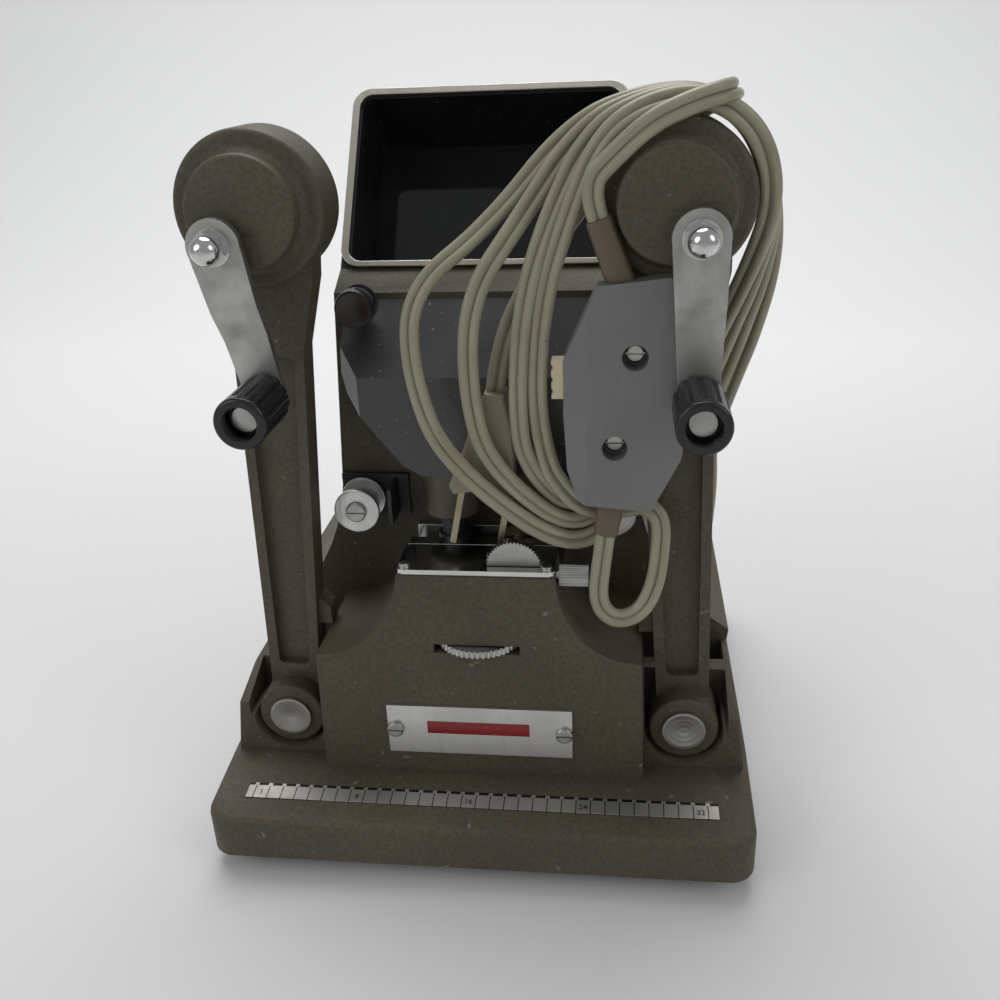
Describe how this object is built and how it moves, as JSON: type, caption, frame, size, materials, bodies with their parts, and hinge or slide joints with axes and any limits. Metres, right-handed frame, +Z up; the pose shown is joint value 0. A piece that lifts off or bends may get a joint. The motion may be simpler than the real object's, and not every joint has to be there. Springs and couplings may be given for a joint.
{
  "type": "8 mm film editor viewer",
  "caption": "Hand-cranked film viewer with a lit hooded screen, a film gate, folding reel arms with cranks, and a mains cord wound over one reel head.",
  "frame": {"origin": "centre of the base's footprint, on the surface that the rubber feet stand on", "axes": "+X to the right as seen from the front, +Y from the front lip towards the back, +Z up"},
  "size_m": [0.1466, 0.15, 0.1991],
  "materials": {
    "olive_crackle": "textured olive crackle paint",
    "black_paint": "satin black paint",
    "screw_steel": "bright turned steel",
    "polished_steel": "polished",
    "nickel": "worn nickel plate",
    "turned_aluminium": "turned",
    "black_rubber": "matt",
    "black_plastic": "glossy black",
    "lamp_ceramic": "matt ceramic",
    "clear_glass": "clear",
    "dark_glass": "dark screen glass, glossy front",
    "mirror_glass": "silvered",
    "cord_plastic": "flat two-core cord, satin",
    "grey_plastic": "moulded, semi-gloss",
    "relief_plastic": "brown, slightly see-through",
    "cream_plastic": "moulded, ribbed",
    "dull_brass": "dull plated blades"
  },
  "bodies": {
    "base": {"base_casting": "olive_crackle", "bottom_plate": "black_paint", "case_screws": "screw_steel", "rubber_feet": "black_rubber", "frame_scale": "turned_aluminium", "nameplate": "turned_aluminium", "slotted_screws": "screw_steel", "lamp_house": "olive_crackle", "rear_cover": "black_paint", "lamp_socket": "lamp_ceramic", "lamp_bulb": "clear_glass", "gate_plate": "polished_steel", "film_channel": "polished_steel", "lens_elements": "clear_glass", "lens_mount": "polished_steel", "lens_barrel": "olive_crackle", "mirror_cover": "black_paint", "front_mirror": "mirror_glass", "rear_mirror": "mirror_glass", "screen_rim": "nickel", "screen_glass": "dark_glass", "roller_bracket": "black_paint", "cord_grommet": "black_rubber", "left_pivot_pin": "turned_aluminium", "right_pivot_pin": "turned_aluminium"},
    "sprocket": {"sprocket_shaft": "screw_steel", "sprocket": "polished_steel", "inching_wheel": "turned_aluminium"},
    "prism": {"prism": "clear_glass", "prism_shaft": "screw_steel"},
    "framing_wheel": {"framing_wheel": "turned_aluminium"},
    "side_knob": {"side_knob": "turned_aluminium"},
    "focus_knob": {"focus_knob": "black_plastic"},
    "left_roller": {"left_roller": "polished_steel"},
    "right_roller": {"right_roller": "polished_steel"},
    "left_arm": {"left_arm": "olive_crackle", "left_head_cover": "black_paint"},
    "right_arm": {"right_arm": "olive_crackle", "right_head_cover": "black_paint", "cord_free": "cord_plastic", "cord_hank": "cord_plastic", "cord_plug_lead": "cord_plastic", "cord_reliefs": "relief_plastic", "switch_box": "grey_plastic", "switch_screws": "screw_steel", "plug_body": "grey_plastic", "plug_blades": "dull_brass"},
    "left_crank": {"left_crank": "nickel", "left_crank_nut": "nickel", "left_crank_gear": "turned_aluminium", "left_handle_rivet": "screw_steel"},
    "right_crank": {"right_crank": "nickel", "right_crank_nut": "nickel", "right_crank_gear": "turned_aluminium", "right_handle_rivet": "screw_steel"},
    "left_handle": {"left_handle": "black_plastic"},
    "right_handle": {"right_handle": "black_plastic"},
    "left_spindle": {"left_spindle": "turned_aluminium"},
    "right_spindle": {"right_spindle": "turned_aluminium"},
    "switch_slider": {"switch_slider": "cream_plastic"}
  },
  "joints": [
    {"name": "right_arm_fold", "type": "hinge", "parent": "base", "child": "right_arm", "pos_m": [0.0548, -0.04, 0.0324], "axis": [0, 1, 0], "range_deg": [0, 22]},
    {"name": "left_arm_fold", "type": "hinge", "parent": "base", "child": "left_arm", "pos_m": [-0.0548, -0.04, 0.0324], "axis": [0, -1, 0], "range_deg": [0, 22]},
    {"name": "right_crank_turn", "type": "hinge", "parent": "right_arm", "child": "right_crank", "pos_m": [0.053, -0.055, 0.16476], "axis": [0, 1, 0], "continuous": true},
    {"name": "left_crank_turn", "type": "hinge", "parent": "left_arm", "child": "left_crank", "pos_m": [-0.053, -0.055, 0.16476], "axis": [0, 1, 0], "continuous": true},
    {"name": "right_handle_spin", "type": "hinge", "parent": "right_crank", "child": "right_handle", "pos_m": [0.054, -0.065, 0.12877], "axis": [0, 1, 0], "continuous": true},
    {"name": "left_handle_spin", "type": "hinge", "parent": "left_crank", "child": "left_handle", "pos_m": [-0.04613, -0.065, 0.12942], "axis": [0, 1, 0], "continuous": true},
    {"name": "right_spindle_turn", "type": "hinge", "parent": "right_arm", "child": "right_spindle", "pos_m": [0.048, -0.03, 0.171], "axis": [0, 1, 0], "continuous": true},
    {"name": "left_spindle_turn", "type": "hinge", "parent": "left_arm", "child": "left_spindle", "pos_m": [-0.048, -0.03, 0.171], "axis": [0, 1, 0], "continuous": true},
    {"name": "sprocket_turn", "type": "hinge", "parent": "base", "child": "sprocket", "pos_m": [0.0098, -0.03, 0.0803], "axis": [0, 1, 0], "continuous": true},
    {"name": "prism_turn", "type": "hinge", "parent": "base", "child": "prism", "pos_m": [-0.0085, -0.02, 0.09339], "axis": [0, 1, 0], "continuous": true},
    {"name": "framing_wheel_turn", "type": "hinge", "parent": "base", "child": "framing_wheel", "pos_m": [0.0003, -0.045, 0.0602], "axis": [0, 0, 1], "continuous": true},
    {"name": "side_knob_turn", "type": "hinge", "parent": "base", "child": "side_knob", "pos_m": [0.025, -0.044, 0.0773], "axis": [1, 0, 0], "continuous": true},
    {"name": "focus_knob_turn", "type": "hinge", "parent": "base", "child": "focus_knob", "pos_m": [-0.0302, -0.02, 0.144], "axis": [0, 1, 0], "continuous": true},
    {"name": "left_roller_turn", "type": "hinge", "parent": "base", "child": "left_roller", "pos_m": [-0.0348, -0.025, 0.0881], "axis": [0, 1, 0], "continuous": true},
    {"name": "right_roller_turn", "type": "hinge", "parent": "base", "child": "right_roller", "pos_m": [0.0348, -0.025, 0.0881], "axis": [0, 1, 0], "continuous": true},
    {"name": "switch_slide", "type": "slide", "parent": "right_arm", "child": "switch_slider", "axis": [0, 0, 1], "range_m": [-0.0024, 0]}
  ],
  "couplings": [
    {"joint": "right_spindle_turn", "follows": "right_crank_turn", "ratio": -1.6667},
    {"joint": "left_spindle_turn", "follows": "left_crank_turn", "ratio": -1.6667},
    {"joint": "prism_turn", "follows": "sprocket_turn", "ratio": -2}
  ]
}
